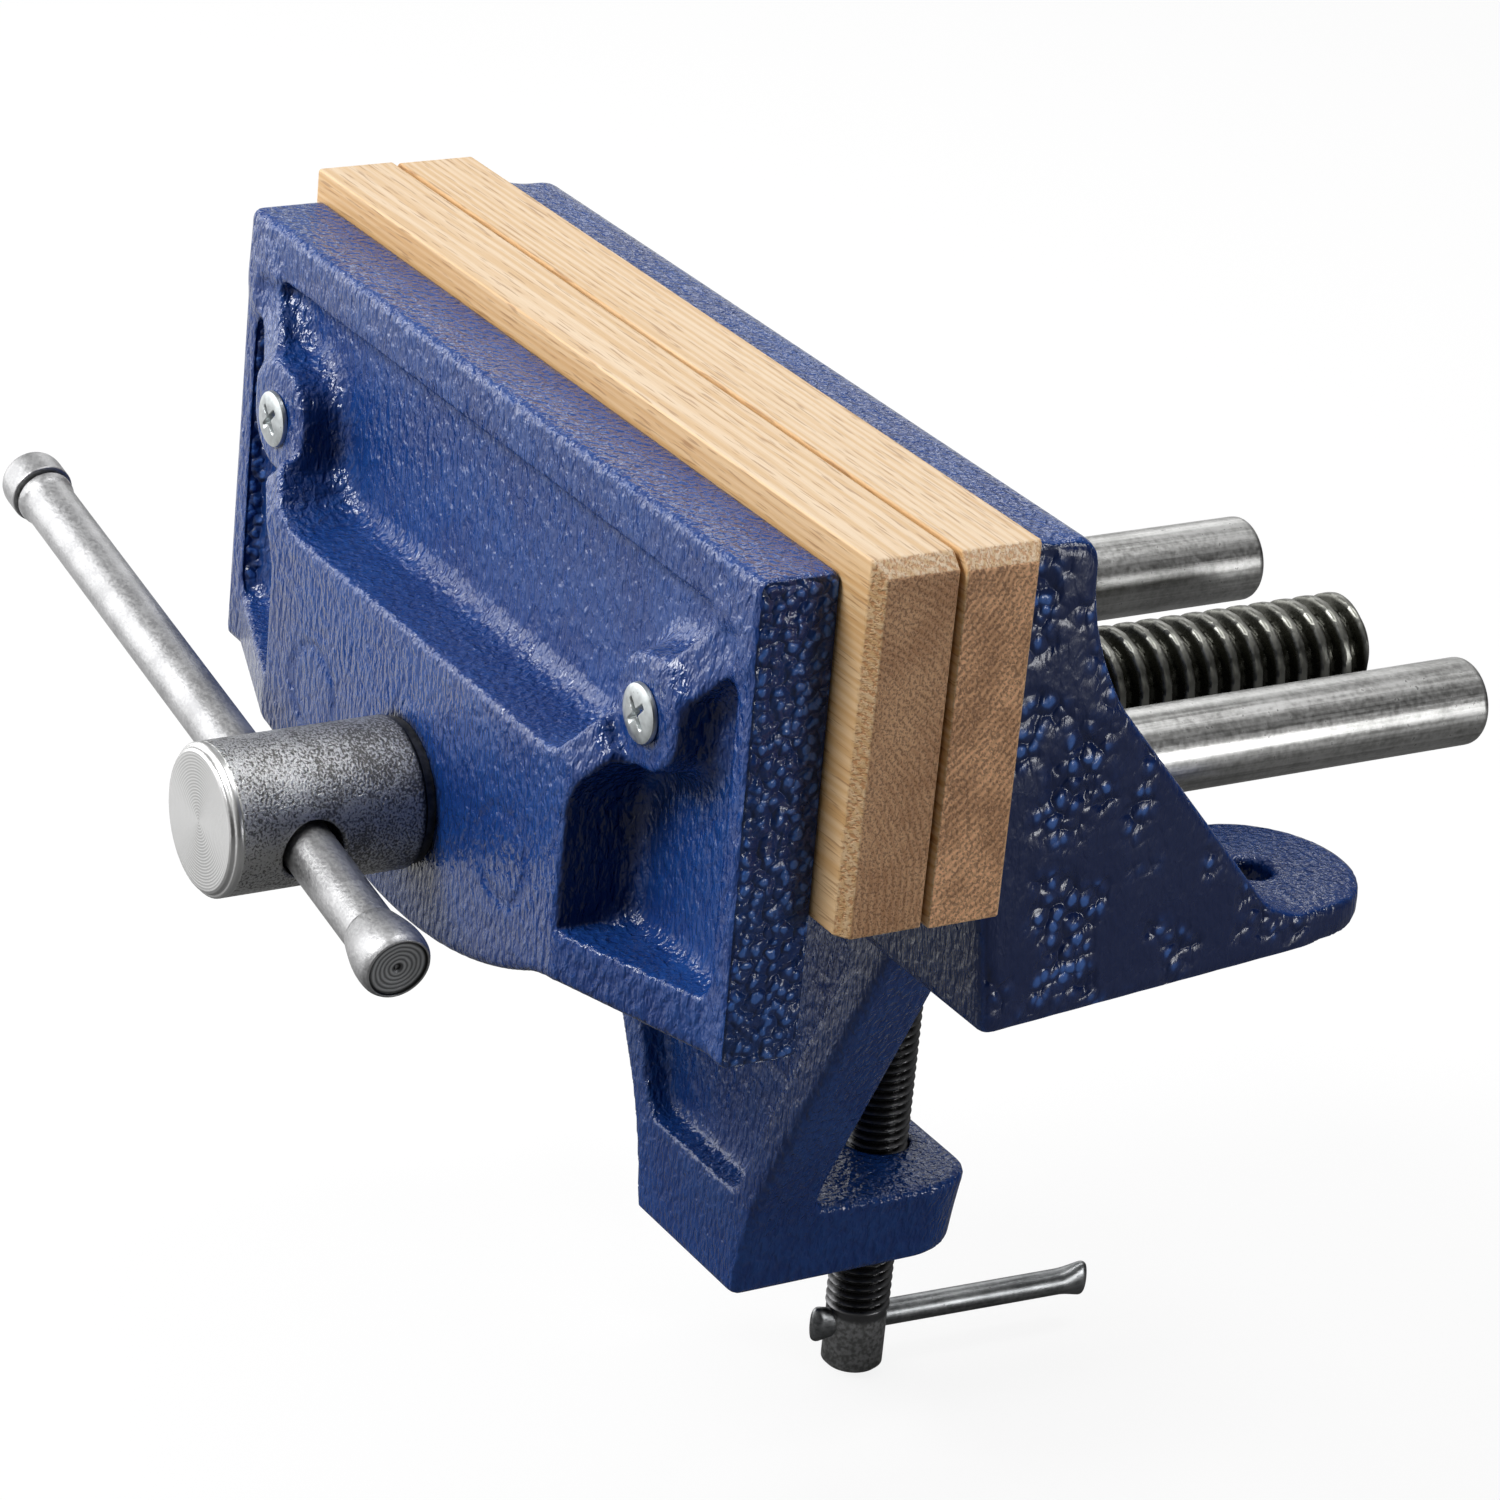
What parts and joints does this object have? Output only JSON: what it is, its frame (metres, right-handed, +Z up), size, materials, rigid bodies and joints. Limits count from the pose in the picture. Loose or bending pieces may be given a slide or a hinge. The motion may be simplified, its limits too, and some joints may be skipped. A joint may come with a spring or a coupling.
{
  "type": "woodworking vise",
  "caption": "Clamp-on woodworking vise: blue cast jaws with wooden liners, guide rods, a main screw with sliding handle, and a clamp screw that grips the bench edge.",
  "frame": {"origin": "On the bench top's plane, at the bench edge that the clamp arm meets, in the middle of the jaws.", "axes": "+X along the jaws, -Y towards the handle and +Y over the bench, +Z up."},
  "size_m": [0.2084, 0.2339, 0.2104],
  "materials": {
    "blue_enamel": "glossy hammered blue enamel on rough cast iron",
    "liner_wood": "plain sawn pale hardwood with darker end grain",
    "zinc_steel": "bright zinc plate",
    "rod_steel": "scuffed drawn steel",
    "oiled_steel": "oily turned steel, dark in the grooves",
    "head_steel": "rough forged skin with a bright turned face",
    "handle_steel": "satin bright steel",
    "nut_iron": "machined cast iron",
    "black_steel": "blackened steel"
  },
  "bodies": {
    "root": {"rear_jaw": "blue_enamel", "rear_liner": "liner_wood", "rear_liner_screws": "zinc_steel", "spindle_nut": "nut_iron", "nut_lock_screw": "black_steel"},
    "moving_jaw": {"front_jaw": "blue_enamel", "front_liner": "liner_wood", "front_liner_screws": "zinc_steel", "guide_rod_left": "rod_steel", "guide_rod_right": "rod_steel", "rod_pins": "rod_steel"},
    "spindle": {"main_screw": "oiled_steel", "screw_head": "head_steel", "thrust_washer": "zinc_steel", "retaining_collar": "rod_steel", "collar_pin": "rod_steel"},
    "handle": {"handle_bar": "handle_steel", "handle_cap": "handle_steel"},
    "pad": {"clamp_pad": "black_steel"},
    "clamp_spindle": {"clamp_screw": "black_steel"},
    "tommy": {"tommy_bar": "zinc_steel"}
  },
  "joints": [
    {"name": "jaw_slide", "type": "slide", "parent": "root", "child": "moving_jaw", "axis": [0, -1, 0], "range_m": [0, 0.1]},
    {"name": "screw_turn", "type": "hinge", "parent": "moving_jaw", "child": "spindle", "pos_m": [0, -0.08, 0.0118], "axis": [0, -1, 0], "range_deg": [-1, 7201]},
    {"name": "handle_slide", "type": "slide", "parent": "spindle", "child": "handle", "axis": [0.9842, 0, -0.1771], "range_m": [-0.0215, 0.0875]},
    {"name": "clamp_lift", "type": "slide", "parent": "root", "child": "pad", "axis": [0, 0, 1], "range_m": [-0.036, 0.0175]},
    {"name": "clamp_turn", "type": "hinge", "parent": "pad", "child": "clamp_spindle", "pos_m": [0, 0.0252, -0.08], "axis": [0, 0, 1], "range_deg": [-7407, 3602]},
    {"name": "tommy_slide", "type": "slide", "parent": "clamp_spindle", "child": "tommy", "axis": [0.061, 0.9981, 0], "range_m": [-0.0405, 0.0007]}
  ],
  "couplings": [
    {"joint": "screw_turn", "follows": "jaw_slide", "rad_per_m": 1256.6},
    {"joint": "clamp_turn", "follows": "clamp_lift", "rad_per_m": 3590.4}
  ]
}
